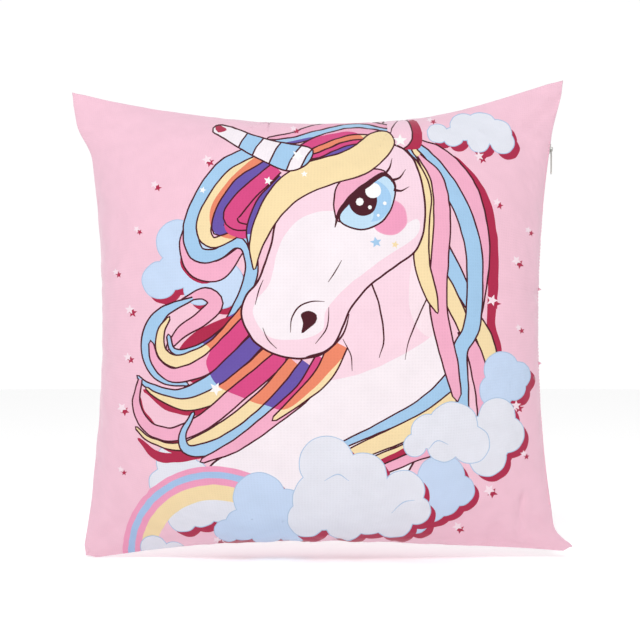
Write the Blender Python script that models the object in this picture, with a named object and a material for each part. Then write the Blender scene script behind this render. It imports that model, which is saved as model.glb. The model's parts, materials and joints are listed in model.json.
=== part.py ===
"""Square throw cushion: a removable two-panel cover closed by a coil zip in its right side seam, around a
fibre-filled inner pad. Metres, +Z up. It stands on its two lower corners, with its printed front facing -Y.
The origin is on the ground below its middle."""

import math

import bmesh
import bpy
from mathutils import Matrix, Vector

# Driving dimensions of the filled cushion
width = 0.440  # lower left corner to lower right corner
height = 0.430  # ground to the upper corners
depth = 0.146  # through the crowns of both panels
seam_bow = 0.021  # how far the filling draws each side seam in at its middle
crown_flat = 0.2  # share of each half width over which a crown is flat

# Fabric and pad
fabric = 0.0010
panel_gap = 0.0008  # half of the slot between the panels where the seam allowance comes through
pad_clearance = 0.0005  # cover to pad at the crown
pad_inset = 0.0095  # cover seam to pad seam, which leaves room for the seam allowance
casing = 0.0006
casing_gap = 0.0002  # half of the gap where the casing's two halves meet
fibre_gap = 0.0004  # casing to fibre
fibre_edge = 0.0001  # half of the fibre's thickness at its rim
allowance_width = 0.0080
allowance_thickness = 0.0008
allowance_end = 0.006  # from the zip's stop
allowance_start = 0.0006  # seam line to the band's outer edge

# Zip, along the right side seam
zip_length = 0.330
zip_slot = 0.0042  # half of the opening between the two folded fabric edges
slot_length = 0.350
slot_taper = 0.018
tape_half_width = 0.0100
tape_depth = 0.0019  # from the seam line in to the tape's outer face
tape_thickness = 0.0005
chain_parting = 0.00055  # half of the gap between the two halves, for the slider's web
coil_width = 0.0018
coil_height = 0.0013
coil_gap = 0.0003  # coil to tape, and coil to stop
stop_length = 0.0030
thread = 0.0005
thread_gap = 0.0004
thread_row = 0.0030  # folded fabric edge to its row of stitching

# Slider and pull
slider_length = 0.0090
slider_half_width = 0.0033
slider_wall = 0.0007
slider_clearance = 0.00035
slider_flare = 1.10  # the end that parts the chain is this much wider
web_half = 0.0002
bail_half_width = 0.0006
bail_reach = 0.0022  # half of the bail's length along the zip
bail_wall = 0.0006
axle_height = 0.00095  # the pull's axle over the slider's face
pull_length = 0.0230
pull_shoulder = 0.0064
pull_half_width = 0.0026
pull_tip_half_width = 0.0019
pull_thickness = 0.0010
pull_window = 0.0037  # from the axle to the window's far end
pull_window_half_width = 0.0012
pull_hole_radius = 0.0009

# Divisions along each side. A crown's flat ends on a division of both.
panel_steps = 20
pad_steps = 10

half_width = width / 2
half_height = height / 2
half_depth = depth / 2
middle_z = height / 2

# The right seam is a circular arc through its two corners and its drawn-in middle.
arc_radius = (half_height**2 + seam_bow**2) / (2 * seam_bow)
arc_centre_x = half_width - seam_bow + arc_radius
zip_half_angle = zip_length / 2 / arc_radius


def clear_scene():
    for obj in list(bpy.data.objects):
        bpy.data.objects.remove(obj)


def finish(name, colour, roughness=0.8, metallic=0.0):
    material = bpy.data.materials.new(name)
    material.use_nodes = True
    shader = material.node_tree.nodes["Principled BSDF"]
    shader.inputs["Base Color"].default_value = (*colour, 1.0)
    shader.inputs["Roughness"].default_value = roughness
    shader.inputs["Metallic"].default_value = metallic
    return material


def add_object(name, bm, material, smooth=True):
    mesh = bpy.data.meshes.new(name)
    bm.to_mesh(mesh)
    bm.free()
    if smooth:
        mesh.shade_smooth()
        mesh.set_sharp_from_angle(angle=math.radians(40))
    mesh.materials.append(material)
    obj = bpy.data.objects.new(name, mesh)
    bpy.context.scene.collection.objects.link(obj)
    return obj


def bow(along, half_span):
    """How far a seam is drawn in at a share of its half length, on the arc of the zip's seam."""
    reach = along * half_span
    return seam_bow - (arc_radius - math.sqrt(arc_radius**2 - reach**2))


def smooth_step(low, high, value):
    share = min(1.0, max(0.0, (value - low) / (high - low)))
    return share * share * (3 - 2 * share)


def flattened(share):
    """The crown's profile along one half width: a cosine whose top is cut off flat."""
    top = math.cos(crown_flat * math.pi / 2)
    return min(1.0, math.cos(share * math.pi / 2) / top)


def cushion_point(s, t, in_plane=0.0, through=0.0, side=-1, gap=0.0):
    """A point of the cushion's surface, or of one inset by in_plane at the seams and through at the crowns.
    s and t run from -1 to 1 across and up the panel; side is -1 on the front and 1 on the back."""
    u = math.sin(s * math.pi / 2)
    v = math.sin(t * math.pi / 2)
    x = u * (half_width - in_plane - bow(v, half_height))
    z = middle_z + v * (half_height - in_plane - bow(u, half_height))
    y = (half_depth - gap - through) * flattened(s) * flattened(t)
    return Vector((x, side * (gap + y), z))


def zip_gap(s, t):
    """Half of the slot between the panels: wide over the zip, narrow along every other seam."""
    end = slot_length / 2 / half_height
    v = abs(math.sin(t * math.pi / 2))
    along_zip = 1.0 - smooth_step(end, end + slot_taper / half_height, v)
    return panel_gap + (zip_slot - panel_gap) * smooth_step(0.5, 1.0, s) * along_zip


def spread(low, high, steps):
    return [low + (high - low) * i / steps for i in range(steps + 1)]


def add_surface(bm, inset, side, gap, steps):
    """One surface of the cushion, inset by (in_plane, through). Returns the vertices round its edge."""
    grid = spread(-1.0, 1.0, steps)
    rows = [[bm.verts.new(cushion_point(s, t, *inset, side, gap(s, t))) for s in grid] for t in grid]
    for j, t in enumerate(grid[:-1]):
        for i, s in enumerate(grid[:-1]):
            a, b, c, d = rows[j][i], rows[j][i + 1], rows[j + 1][i + 1], rows[j + 1][i]
            # Each quad splits along the diagonal that points at its own corner of the cushion.
            if (s + 1 / steps) * (t + 1 / steps) > 0:
                triangles = ((a, b, c), (a, c, d))
            else:
                triangles = ((a, b, d), (b, c, d))
            for corners in triangles:
                bm.faces.new(corners)
    right = [row[-1] for row in rows[1:-1]]
    left = [row[0] for row in rows[1:-1]]
    return rows[0] + right + rows[-1][::-1] + left[::-1]


def close_rims(name, bm, first, second, material):
    """Joins two surfaces along their edges into one closed body."""
    for i in range(len(first)):
        bm.faces.new((first[i - 1], first[i], second[i], second[i - 1]))
    bmesh.ops.recalc_face_normals(bm, faces=bm.faces)
    return add_object(name, bm, material)


def skin(name, side, inset, thickness, gap, steps, material):
    """A closed skin of fabric on one side of the cushion."""
    bm = bmesh.new()
    inner_inset = [value + thickness for value in inset]
    outer = add_surface(bm, inset, side, gap, steps)
    inner = add_surface(bm, inner_inset, side, gap, steps)
    return close_rims(name, bm, outer, inner, material)


def cover_panels(material_front, material_back):
    skin("cover_front_panel", -1, (0.0, 0.0), fabric, zip_gap, panel_steps, material_front)
    skin("cover_back_panel", 1, (0.0, 0.0), fabric, zip_gap, panel_steps, material_back)


def inner_pad(casing_material, fibre_material):
    inset = (pad_inset, fabric + pad_clearance)
    skin("pad_casing_front", -1, inset, casing, lambda s, t: casing_gap, pad_steps, casing_material)
    skin("pad_casing_back", 1, inset, casing, lambda s, t: casing_gap, pad_steps, casing_material)
    bm = bmesh.new()
    fibre_inset = [value + casing + fibre_gap for value in inset]
    front = add_surface(bm, fibre_inset, -1, lambda s, t: fibre_edge, pad_steps)
    back = add_surface(bm, fibre_inset, 1, lambda s, t: fibre_edge, pad_steps)
    close_rims("fibre_filling", bm, front, back, fibre_material)


def seam_point(s, t, inset):
    """A point of the seam outline in the plane of the seams, inset from the cover's edge."""
    return cushion_point(s, t, inset, half_depth, -1, 0.0)


def seam_allowance(material):
    """The overlocked raw edges of both panels, turned inside: a flat band round all but the zip's stretch."""
    start = math.asin((zip_length / 2 + stop_length + allowance_end) / half_height) * 2 / math.pi
    side = spread(-1.0, 1.0, panel_steps)
    path = [(1.0, start), (1.0, (1.0 + start) / 2), (1.0, 1.0)]
    path += [(s, 1.0) for s in side[-2:0:-1]]
    path += [(-1.0, t) for t in side[::-1]]
    path += [(s, -1.0) for s in side[1:-1]]
    path += [(1.0, -1.0), (1.0, -(1.0 + start) / 2), (1.0, -start)]
    bm = bmesh.new()
    half = Vector((0, allowance_thickness / 2, 0))
    sections = []
    for s, t in path:
        outer = seam_point(s, t, allowance_start)
        inner = seam_point(s, t, allowance_width)
        corners = (outer - half, inner - half, inner + half, outer + half)
        sections.append([bm.verts.new(corner) for corner in corners])
    for first, second in zip(sections, sections[1:]):
        for i in range(4):
            bm.faces.new((first[i - 1], first[i], second[i], second[i - 1]))
    bm.faces.new(sections[0])
    bm.faces.new(sections[-1])
    bmesh.ops.recalc_face_normals(bm, faces=bm.faces)
    return add_object("seam_allowance", bm, material, smooth=False)


def zip_place(angle, inward, y):
    """A point near the zip: angle along the seam's arc from its middle, inward from the seam line, and y."""
    r = arc_radius + inward
    return Vector((arc_centre_x - r * math.cos(angle), y, middle_z + r * math.sin(angle)))


def panel_drop(angle, y):
    """How far the cover has fallen in from the seam line at y, on its first division beyond the zip's slot."""
    t = math.asin(math.sin(angle) * arc_radius / half_height) * 2 / math.pi
    edge = cushion_point(1.0, t, side=1, gap=zip_slot)
    bend = cushion_point(1.0 - 2.0 / panel_steps, t, side=1, gap=zip_slot)
    return max(0.0, y - zip_slot) * (edge.x - bend.x) / (bend.y - edge.y)


def arc_strip(name, side, across, thickness, angles, material, follow):
    """A strip along the zip. across holds its (y, inward) points from the inner edge outwards.
    With follow, it falls in with the cover beyond the zip's slot."""
    bm = bmesh.new()
    sections = []
    for angle in angles:
        outer, inner = [], []
        for y, inward in across:
            depth_in = inward + (panel_drop(angle, y) if follow else 0.0)
            outer.append(bm.verts.new(zip_place(angle, depth_in, side * y)))
            inner.append(bm.verts.new(zip_place(angle, depth_in + thickness, side * y)))
        sections.append(outer + inner[::-1])
    for first, second in zip(sections, sections[1:]):
        for i in range(len(first)):
            bm.faces.new((first[i - 1], first[i], second[i], second[i - 1]))
    bm.faces.new(sections[0])
    bm.faces.new(sections[-1])
    bmesh.ops.recalc_face_normals(bm, faces=bm.faces)
    return add_object(name, bm, material, smooth=False)


def zip_halves(tape_material, coil_material, thread_material):
    """The tape, the coil and the row of stitching on each side of the slot."""
    tape_end = zip_half_angle + (stop_length + 2 * coil_gap) / arc_radius
    tape_angles = spread(-tape_end, tape_end, 24)
    coil_angles = spread(-zip_half_angle, zip_half_angle, 24)
    tape_bend = (zip_slot + tape_half_width) / 2
    tape_across = [(y, tape_depth) for y in (chain_parting, zip_slot, tape_bend, tape_half_width)]
    coil_lift = tape_depth - coil_gap - coil_height
    coil_across = [(chain_parting, coil_lift), (chain_parting + coil_width, coil_lift)]
    row = zip_slot + thread_row
    lift = -thread - thread_gap
    row_across = [(row, lift), (row + thread, lift)]
    for label, side in (("front", -1), ("back", 1)):
        arc_strip(f"zip_tape_{label}", side, tape_across, tape_thickness, tape_angles, tape_material, True)
        arc_strip(f"zip_coil_{label}", side, coil_across, coil_height, coil_angles, coil_material, False)
        arc_strip(f"zip_stitching_{label}", side, row_across, thread, coil_angles, thread_material, True)


def zip_stops(material):
    """Crimped stops just past the chain's ends: one on each tape at the top, one across both below."""
    start = zip_half_angle + coil_gap / arc_radius
    end = start + stop_length / arc_radius
    lift = tape_depth - coil_gap - coil_height
    edge = chain_parting + coil_width
    for label, side in (("front", -1), ("back", 1)):
        across = [(chain_parting, lift), (edge, lift)]
        arc_strip(f"zip_top_stop_{label}", side, across, coil_height, [start, end], material, False)
    across = [(-edge, lift), (edge, lift)]
    arc_strip("zip_bottom_stop", 1, across, coil_height, [-end, -start], material, False)


def prism(bm, outline, axis, low, high):
    """A solid with this outline, extruded from low to high along the axis that the outline leaves out."""
    ends = []
    for level in (low, high):
        places = {
            "X": [(level, a, b) for a, b in outline],
            "Y": [(a, level, b) for a, b in outline],
            "Z": [(a, b, level) for a, b in outline],
        }
        ends.append([bm.verts.new(place) for place in places[axis]])
    for i in range(len(outline)):
        bm.faces.new((ends[0][i - 1], ends[0][i], ends[1][i], ends[1][i - 1]))
    bm.faces.new(ends[0])
    bm.faces.new(ends[1])
    bmesh.ops.recalc_face_normals(bm, faces=bm.faces)


def attach(obj, parent, matrix):
    obj.parent = parent
    obj.matrix_basis = matrix


def combine(obj, name, bm, operation):
    """Adds or cuts away a hidden solid, given in the object's own space."""
    mesh = bpy.data.meshes.new(name)
    bm.to_mesh(mesh)
    bm.free()
    other = bpy.data.objects.new(name, mesh)
    other.hide_render = True
    other.display_type = "WIRE"
    bpy.context.scene.collection.objects.link(other)
    attach(other, obj, Matrix.Identity(4))
    modifier = obj.modifiers.new(name, "BOOLEAN")
    modifier.operation = operation
    modifier.solver = "EXACT"
    modifier.object = other


def slider_face():
    """How far the slider's outer face stands out of the seam line."""
    coil_lift = tape_depth - coil_gap - coil_height
    return slider_clearance - coil_lift + slider_wall


def zip_slider(material):
    """The slider: an outer plate with two flanges beside the coils, a web between the tapes and an inner
    plate behind them, with the bail that holds the pull. Local X points out, Z up along the zip."""
    face = slider_face()
    roof = face - slider_wall
    flange = chain_parting + coil_width + slider_clearance
    flange_end = -tape_depth + slider_clearance
    floor = -tape_depth - tape_thickness - slider_clearance
    back = floor - slider_wall
    half = slider_half_width
    one_side = [(face, half), (flange_end, half), (flange_end, flange), (roof, flange), (roof, web_half)]
    one_side += [(floor, web_half), (floor, half), (back, half)]
    outline = one_side + [(x, -y) for x, y in reversed(one_side)]
    bm = bmesh.new()
    prism(bm, outline, "Z", -slider_length / 2, slider_length / 2)
    for vert in bm.verts:
        if vert.co.z > 0 and abs(vert.co.y) > web_half + 1e-6:
            vert.co.y *= slider_flare
    slider = add_object("zip_slider", bm, material, smooth=False)

    top = face + 2 * axle_height
    hidden = face - slider_wall / 2
    outer, inner = bail_reach, bail_reach - bail_wall
    arch = [(hidden, -outer), (top, -outer), (top + bail_wall, -inner), (top + bail_wall, inner)]
    arch += [(top, outer), (hidden, outer), (hidden, inner), (top, inner), (top, -inner), (hidden, -inner)]
    bm = bmesh.new()
    prism(bm, arch, "Y", -bail_half_width, bail_half_width)
    combine(slider, "bail", bm, "UNION")
    return slider


def zip_pull(material):
    """The tab that hangs from the bail, with its axle along its own Y axis and the tab down -Z."""
    half = pull_thickness / 2
    tip = pull_length - pull_tip_half_width
    edge = [(pull_half_width, half), (pull_half_width, -pull_shoulder)]
    edge += [
        (pull_tip_half_width * math.cos(turn), -tip - pull_tip_half_width * math.sin(turn))
        for turn in spread(0.0, math.pi / 2, 5)
    ]
    outline = edge + [(-y, z) for y, z in reversed(edge[:-1])]
    bm = bmesh.new()
    prism(bm, outline, "X", -half, half)
    pull = add_object("zip_pull", bm, material)

    window = [(-pull_thickness, -half), (pull_thickness, -half)]
    window += [(pull_thickness, -pull_window), (-pull_thickness, -pull_window)]
    bm = bmesh.new()
    prism(bm, window, "Y", -pull_window_half_width, pull_window_half_width)
    combine(pull, "pull_window", bm, "DIFFERENCE")

    bm = bmesh.new()
    bmesh.ops.create_cone(
        bm,
        cap_ends=True,
        segments=16,
        radius1=pull_hole_radius,
        radius2=pull_hole_radius,
        depth=4 * pull_thickness,
        matrix=Matrix.Translation((0, 0, -tip)) @ Matrix.Rotation(math.pi / 2, 4, "Y"),
    )
    combine(pull, "pull_hole", bm, "DIFFERENCE")
    return pull


def place_slider(material):
    """Hangs the slider on the centre of the zip's arc, closed at the top, and its pull straight down."""
    angle = zip_half_angle - (slider_length / 2 + coil_gap) / arc_radius
    arc_centre = bpy.data.objects.new("zip_arc_centre", None)
    bpy.context.scene.collection.objects.link(arc_centre)
    arc_centre.matrix_basis = Matrix.Translation((arc_centre_x, 0, middle_z)) @ Matrix.Rotation(angle, 4, "Y")
    slider = zip_slider(material)
    attach(slider, arc_centre, Matrix.Translation((-arc_radius, 0, 0)))
    pull = zip_pull(material)
    axle = Matrix.Translation((slider_face() + axle_height, 0, 0))
    attach(pull, slider, axle @ Matrix.Rotation(-angle, 4, "Y"))


def main():
    clear_scene()
    printed = finish("printed_fabric", (0.84, 0.52, 0.62), 0.85)
    plain = finish("plain_fabric", (0.84, 0.52, 0.62), 0.85)
    webbing = finish("zip_tape", (0.80, 0.48, 0.58), 0.9)
    nylon = finish("zip_coil", (0.82, 0.55, 0.63), 0.45)
    sewing_thread = finish("sewing_thread", (0.83, 0.50, 0.60), 0.7)
    plated_zinc = finish("zip_metal", (0.75, 0.75, 0.77), 0.3, 1.0)
    casing_cloth = finish("pad_casing", (0.86, 0.86, 0.84), 0.9)
    fibre = finish("polyester_fibre", (0.90, 0.90, 0.90), 1.0)
    cover_panels(printed, plain)
    seam_allowance(plain)
    zip_halves(webbing, nylon, sewing_thread)
    zip_stops(plated_zinc)
    place_slider(plated_zinc)
    inner_pad(casing_cloth, fibre)


main()
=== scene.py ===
import json
import math

import bmesh
import bpy
import numpy as np
from mathutils import Matrix, Vector, geometry


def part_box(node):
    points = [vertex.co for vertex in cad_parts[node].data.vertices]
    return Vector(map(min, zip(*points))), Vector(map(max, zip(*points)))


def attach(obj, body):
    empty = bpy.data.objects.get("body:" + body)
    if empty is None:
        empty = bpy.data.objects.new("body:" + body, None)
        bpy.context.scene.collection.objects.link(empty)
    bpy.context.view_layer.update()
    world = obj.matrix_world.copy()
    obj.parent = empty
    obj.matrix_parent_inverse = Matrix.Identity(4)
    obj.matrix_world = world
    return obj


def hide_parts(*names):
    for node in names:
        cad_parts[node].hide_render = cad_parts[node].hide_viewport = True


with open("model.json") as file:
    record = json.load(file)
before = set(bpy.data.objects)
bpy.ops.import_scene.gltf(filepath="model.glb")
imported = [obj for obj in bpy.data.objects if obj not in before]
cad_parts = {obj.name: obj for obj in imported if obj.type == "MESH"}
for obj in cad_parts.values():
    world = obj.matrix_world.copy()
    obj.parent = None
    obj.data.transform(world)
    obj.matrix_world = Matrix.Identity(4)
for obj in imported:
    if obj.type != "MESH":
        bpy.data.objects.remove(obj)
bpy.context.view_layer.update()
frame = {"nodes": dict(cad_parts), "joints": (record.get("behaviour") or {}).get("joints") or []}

# The filled cushion's outline, from the frame
low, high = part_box("cover_front_panel")
halfWidth = (high.x - low.x) / 2
halfHeight = (high.z - low.z) / 2
middleZ = (high.z + low.z) / 2
crownY = -low.y  # how far each panel's crown stands from the plane of the seams
travel = next(joint for joint in frame["joints"] if joint["name"] == "slider_travel")
arcX = travel["pos_m"][0]  # centre of the arc that each drawn-in side seam follows
arcRadius = math.hypot(arcX - halfWidth, halfHeight)
seamBow = halfWidth - (arcX - arcRadius)

cushion = {
    "flat": 0.440,  # each panel between its seams, laid flat
    "cells": 72,  # cloth cells along each side
    "frames": 26,
    "pressure": 3.0,
    "stretch": 20.0,
    "bend": 1.0,
    "unevenness": 0.0002,  # of the start, so that the cloth can buckle
    "weaveCells": 100,  # of the finished panels, before the print cuts them
    "zipSlot": 0.0042,  # half of the opening along the zip
    "zipReach": 0.1665,  # from the middle of the seam to where the opening starts to close
    "zipClosing": 0.012,  # length over which it closes
    "panelGap": 0.0002,  # half of the gap between the panels at the seam
    "seamTuck": 0.008,  # seam allowance, turned in behind the seam
    "foldUnder": 0.0022,  # along the zip the allowance lies this far under the panel
    "fabric": 0.0006,  # thickness, with its brushed face
    # each corner: how far it is pulled across and up, from where on the side seam, and how blunt its tip is
    "corners": {
        (-1, 1): (-0.009, -0.002, 0.7, 0.0015),
        (1, 1): (0.0045, 0.009, 0.79, 0.0015),
        (1, -1): (0.019, 0.004, 0.865, 0.006),
        (-1, -1): (0.001, -0.0022, 0.6, 0.004),
    },
    "sag": {1: -0.012, -1: -0.0055},  # of the middle of the top and bottom seams
}


def seamDraw(share):
    # how far a seam is drawn in at a share of its half length
    return seamBow - (arcRadius - np.sqrt(arcRadius**2 - (share * halfHeight) ** 2))


def filledShape(p, q):
    # where a panel's flat point (p, q), each from -1 to 1, lies on a smooth filled cushion
    across = p + (np.sin(p * np.pi / 2) - p) * (1 - q * q)
    up = q + (np.sin(q * np.pi / 2) - q) * (1 - p * p)
    x = across * (halfWidth - seamDraw(up))
    z = middleZ + up * (halfHeight - seamDraw(across))
    y = crownY * np.clip(np.cos(p * np.pi / 2) * np.cos(q * np.pi / 2), 0, 1) ** 0.75
    return x, y, z


def ease(share, start, end=1.0):
    t = np.clip((share - start) / (end - start), 0, 1)
    return t * t * (3 - 2 * t)


def pulled(p, q):
    # how far the flat point (p, q) lies from the even filled shape, since no cover is plumped up evenly
    across, up = 0 * p, 0 * p
    for (right, top), (pullAcross, pullUp, start, blunt) in cushion["corners"].items():
        share = ease(right * p, 0.4) * ease(top * q, start, start + 0.16)
        tip = ease(right * p, 0.93) * ease(top * q, 0.93)
        across = across + pullAcross * share - right * blunt * tip
        up = up + pullUp * share - top * blunt * tip
    for top, drop in cushion["sag"].items():
        up = up + drop * (1 - p * p) * ease(top * q, 0.2)
    return across, up


def inflateCover():
    # two square panels sewn together all round, filled by pressure, with their seam held to the outline
    cells, side = cushion["cells"], cushion["flat"]
    bm = bmesh.new()
    bmesh.ops.create_grid(bm, x_segments=cells, y_segments=cells, size=side / 2)
    bmesh.ops.rotate(bm, verts=bm.verts, matrix=Matrix.Rotation(math.radians(90), 3, "X"))
    back = bmesh.ops.duplicate(bm, geom=bm.verts[:] + bm.edges[:] + bm.faces[:])["geom"]
    backVerts = [item for item in back if isinstance(item, bmesh.types.BMVert)]
    bmesh.ops.translate(bm, verts=bm.verts, vec=(0, -0.001, 0))
    bmesh.ops.translate(bm, verts=backVerts, vec=(0, 0.002, 0))
    edge = side / 2 - 1e-5
    seam = [v for v in bm.verts if max(abs(v.co.x), abs(v.co.z)) > edge]
    for v in seam:
        v.co.y = 0
    bmesh.ops.remove_doubles(bm, verts=seam, dist=1e-5)
    bmesh.ops.recalc_face_normals(bm, faces=bm.faces)
    if bm.calc_volume(signed=True) < 0:
        bmesh.ops.reverse_faces(bm, faces=bm.faces)
    mesh = bpy.data.meshes.new("cloth")
    bm.to_mesh(mesh)
    bm.free()
    cloth = bpy.data.objects.new("cloth", mesh)
    bpy.context.scene.collection.objects.link(cloth)

    flat = np.empty(len(mesh.vertices) * 3)
    mesh.vertices.foreach_get("co", flat)
    flat = flat.reshape(-1, 3)
    p, q = flat[:, 0] / (side / 2), flat[:, 2] / (side / 2)
    x, y, z = filledShape(p, q)
    rng = np.random.default_rng(7)
    filled = np.stack([x, np.sign(flat[:, 1]) * y, z], axis=1)
    loose = np.abs(flat[:, 1]) > 1e-6
    filled[loose] += rng.normal(0, cushion["unevenness"], (loose.sum(), 3))
    cloth.shape_key_add(name="flat")
    start = cloth.shape_key_add(name="filled")
    start.data.foreach_set("co", filled.ravel())
    start.value = 1.0
    held = cloth.vertex_groups.new(name="seam")
    held.add([int(i) for i in np.flatnonzero(~loose)], 1.0, "REPLACE")

    cloth.modifiers.new("Cloth", "CLOTH")
    fabric = cloth.modifiers["Cloth"].settings
    fabric.rest_shape_key = cloth.data.shape_keys.key_blocks["flat"]
    fabric.vertex_group_mass = "seam"
    fabric.quality = 6
    fabric.mass = 0.001
    fabric.tension_stiffness = cushion["stretch"]
    fabric.compression_stiffness = cushion["stretch"]
    fabric.shear_stiffness = cushion["stretch"] * 0.4
    fabric.bending_stiffness = cushion["bend"]
    fabric.air_damping = 2.0
    fabric.use_pressure = True
    fabric.uniform_pressure_force = cushion["pressure"]
    fabric.effector_weights.gravity = 0.0
    cloth.modifiers["Cloth"].collision_settings.use_collision = False
    cloth.modifiers["Cloth"].point_cache.frame_end = cushion["frames"]
    scene = bpy.context.scene
    for step in range(1, cushion["frames"] + 1):
        scene.frame_set(step)
    shaped = cloth.evaluated_get(bpy.context.evaluated_depsgraph_get()).to_mesh()
    points = np.empty(len(shaped.vertices) * 3)
    shaped.vertices.foreach_get("co", points)
    points = points.reshape(-1, 3)
    scene.frame_set(1)

    column = np.rint((p + 1) / 2 * cells).astype(int)
    row = np.rint((q + 1) / 2 * cells).astype(int)
    panels = {}
    for name, sign in (("front", -1), ("back", 1)):
        grid = np.zeros((cells + 1, cells + 1, 3))
        mine = ~loose | (np.sign(flat[:, 1]) == sign)
        grid[row[mine], column[mine]] = points[mine]
        panels[name] = grid
    bpy.data.objects.remove(cloth)
    return panels


panels = inflateCover()
steps = np.linspace(-1, 1, cushion["cells"] + 1)
across, up = pulled(*np.meshgrid(steps, steps))
for grid in panels.values():
    grid[..., 0] += across
    grid[..., 2] += up
crowns = [round(float(np.abs(grid[..., 1]).max()), 4) for grid in panels.values()]
print("cover inflated: crowns stand", crowns)

# The print is drawn in millimetres from the middle of the filled cushion, as seen from the front, and then
# laid out on the flat panel. Each entry paints over those before it.
inks = {
    "ground": "#F8CBDD",
    "line": "#4A1020",
    "crimson": "#B3244C",
    "coat": "#FAF3FA",
    "coatShade": "#FBDCEB",
    "ear": "#FBD3E4",
    "yellow": "#F9E3B2",
    "blue": "#A6CFF2",
    "pink": "#F6B2CE",
    "indigo": "#6A55AE",
    "magenta": "#DB4A88",
    "orange": "#EE8A6A",
    "cloud": "#E9EDF8",
    "cloudEdge": "#AECBEA",
    "sky": "#CADFFB",
    "pale": "#FDE9F3",
    "rainbowPink": "#F4A3C6",
    "rainbowBlue": "#A9C9F0",
    "iris": "#A6D1F6",
    "irisLight": "#C4E4FB",
    "white": "#FFFFFF",
}
shadeOf = {"blue": "indigo", "pink": "magenta", "yellow": "orange"}  # a lock's ink where the head shades it
inkNames = list(inks)
pen = 1.45  # width of the drawn line
painted = []


def paint(outline, ink, within=None):
    painted.append((np.array(outline), ink, within))


def smooth(points, closed=False, step=3.0):
    # a Catmull-Rom curve through the points, with a point about every step millimetres
    p = np.array(points, float)
    ends = (p[-1:], p[:2]) if closed else (2 * p[:1] - p[1:2], 2 * p[-1:] - p[-2:-1])
    p = np.concatenate([ends[0], p, ends[1]])
    run = []
    for a, b, c, d in zip(p, p[1:], p[2:], p[3:]):
        t = np.linspace(0, 1, max(2, round(np.linalg.norm((c - b)[:2]) / step)), endpoint=False)[:, None]
        bend, twist = 2 * a - 5 * b + 4 * c - d, 3 * b - a - 3 * c + d
        run.append(0.5 * (2 * b + (c - a) * t + bend * t**2 + twist * t**3))
    if not closed:
        run.append(p[-2:-1])
    return np.concatenate(run)


def normals(line, closed):
    along = np.roll(line, -1, 0) - np.roll(line, 1, 0) if closed else np.gradient(line, axis=0)
    along /= np.maximum(np.linalg.norm(along, axis=1), 1e-9)[:, None]
    return np.stack([-along[:, 1], along[:, 0]], axis=1)


def ribbon(points, grow=0.0):
    # a band along points of (x, y, width), with every width grown by grow on each side
    run = smooth(points)
    side = normals(run[:, :2], False) * (np.maximum(run[:, 2:], 0) / 2 + grow)
    line = run[:, :2]
    tip = line[-1:] + np.stack([side[-1:, 1], -side[-1:, 0]], axis=1) * 1.3
    return np.concatenate([line + side, tip, (line - side)[::-1]])


def lock(ink, *points):
    # a lock of hair: a drawn line all round, its colour, and its darker colour where the head shades it
    paint(ribbon(points, pen), "line")
    fill = ribbon(points)
    paint(fill, ink)
    paint(headShade, shadeOf[ink], fill)


def stroke(*points, ink="line"):
    paint(ribbon(points), ink)


def shape(ink, *points, line=pen, within=None):
    edge = smooth(points, closed=True)
    if line:
        out = normals(edge, True)
        turn = np.sum(edge[:, 0] * np.roll(edge[:, 1], -1) - np.roll(edge[:, 0], -1) * edge[:, 1])
        paint(edge - out * line * np.sign(turn), "line")
    paint(edge, ink, within)
    return edge


def ring(x, y, radius, first=0.0, last=360.0):
    turns = np.radians(np.linspace(first, last, max(9, round(radius * math.radians(last - first) / 2.5))))
    return np.stack([x + radius * np.cos(turns), y + radius * np.sin(turns)], axis=1)


def disc(x, y, radius, ink, within=None):
    paint(ring(x, y, radius)[:-1], ink, within)


def cloud(fill, *puffs, drop=(5, -5.5)):
    # round puffs of (x, y, radius) with a fine edge, over their own crimson shadow
    for x, y, radius in puffs:
        if drop:
            disc(x + drop[0], y + drop[1], radius, "crimson")
    for x, y, radius in puffs:
        disc(x, y, radius + 0.8, "cloudEdge")
    for x, y, radius in puffs:
        disc(x, y, radius, fill)


def star(x, y, size, turn, ink="white", drop=True):
    angles = np.radians(turn + 90 + 36 * np.arange(10))
    reach = np.where(np.arange(10) % 2, 0.36 * size, 0.8 * size)
    points = np.stack([reach * np.cos(angles), reach * np.sin(angles)], axis=1)
    if drop:
        paint(points * 0.95 + (x + 3, y - 3), "crimson")
    paint(points + (x, y), ink)


# Where the head and neck shade the hair behind them
headShade = smooth(
    [
        (-52, 152), (-92, 112), (-96, 84), (-78, 74), (-60, 78), (-50, 60), (-54, 40), (-64, 18), (-84, 4),
        (-108, -6), (-110, -14), (-97, -22), (-100, -36), (-90, -55), (-72, -64), (-50, -72), (-20, -70),
        (40, 0), (60, 90), (40, 165), (0, 168),
    ],
    closed=True,
)

# Sky behind the unicorn
cloud("sky", (-142, 38, 16), (-126, 72, 19), (-112, 54, 24), (-88, 34, 21), (-128, 46, 16), (-106, 30, 14))
cloud(
    "cloud",
    (106, 171, 9), (120, 168, 9), (131, 178, 13), (146, 177, 15), (161, 172, 13), (165, 164, 11),
    (143, 164, 10),
)
cloud("cloud", (-128, -124, 18), (-140, -143, 13), (-114, -138, 16), drop=None)

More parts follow.
